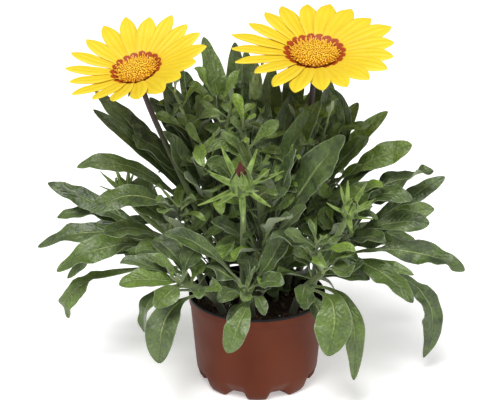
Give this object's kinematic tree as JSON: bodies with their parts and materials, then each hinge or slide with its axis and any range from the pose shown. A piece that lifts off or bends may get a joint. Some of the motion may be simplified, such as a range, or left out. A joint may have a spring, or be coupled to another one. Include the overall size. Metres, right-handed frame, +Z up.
{
  "type": "potted gazania",
  "caption": "Potted gazania: tapered nursery pot of compost, leafy shoots with spoon-shaped leaves, open daisy flowers with a raised disc, and bracted buds.",
  "frame": {"origin": "centre of the flat underside of the pot, on the surface it stands on", "axes": "+Z up along the pot's axis, +X to the right seen from the plant's front, +Y to its back"},
  "size_m": [0.324, 0.2315, 0.2844],
  "materials": {
    "pot": "satin",
    "compost": "matte",
    "foliage": "satin",
    "stalk": "satin",
    "ray": "matte",
    "floret": "matte",
    "bract": "satin",
    "furled": "matte"
  },
  "bodies": {
    "root": {"pot": "pot", "compost": "compost", "shoot_front_left": "foliage", "shoot_front": "foliage", "shoot_front_right": "foliage", "shoot_right": "foliage", "shoot_left": "foliage", "shoot_upper_left": "foliage", "shoot_upper_right": "foliage", "shoot_centre": "foliage", "shoot_back_left": "foliage", "shoot_back": "foliage", "shoot_top": "foliage", "shoot_back_right": "foliage", "flower_left_stem": "stalk", "flower_left_rays": "ray", "flower_left_disc": "floret", "flower_right_stem": "stalk", "flower_right_rays": "ray", "flower_right_disc": "floret", "bud_front": "bract", "bud_front_rays": "furled", "bud_right": "bract", "bud_left": "bract", "bud_back": "bract"}
  },
  "joints": []
}
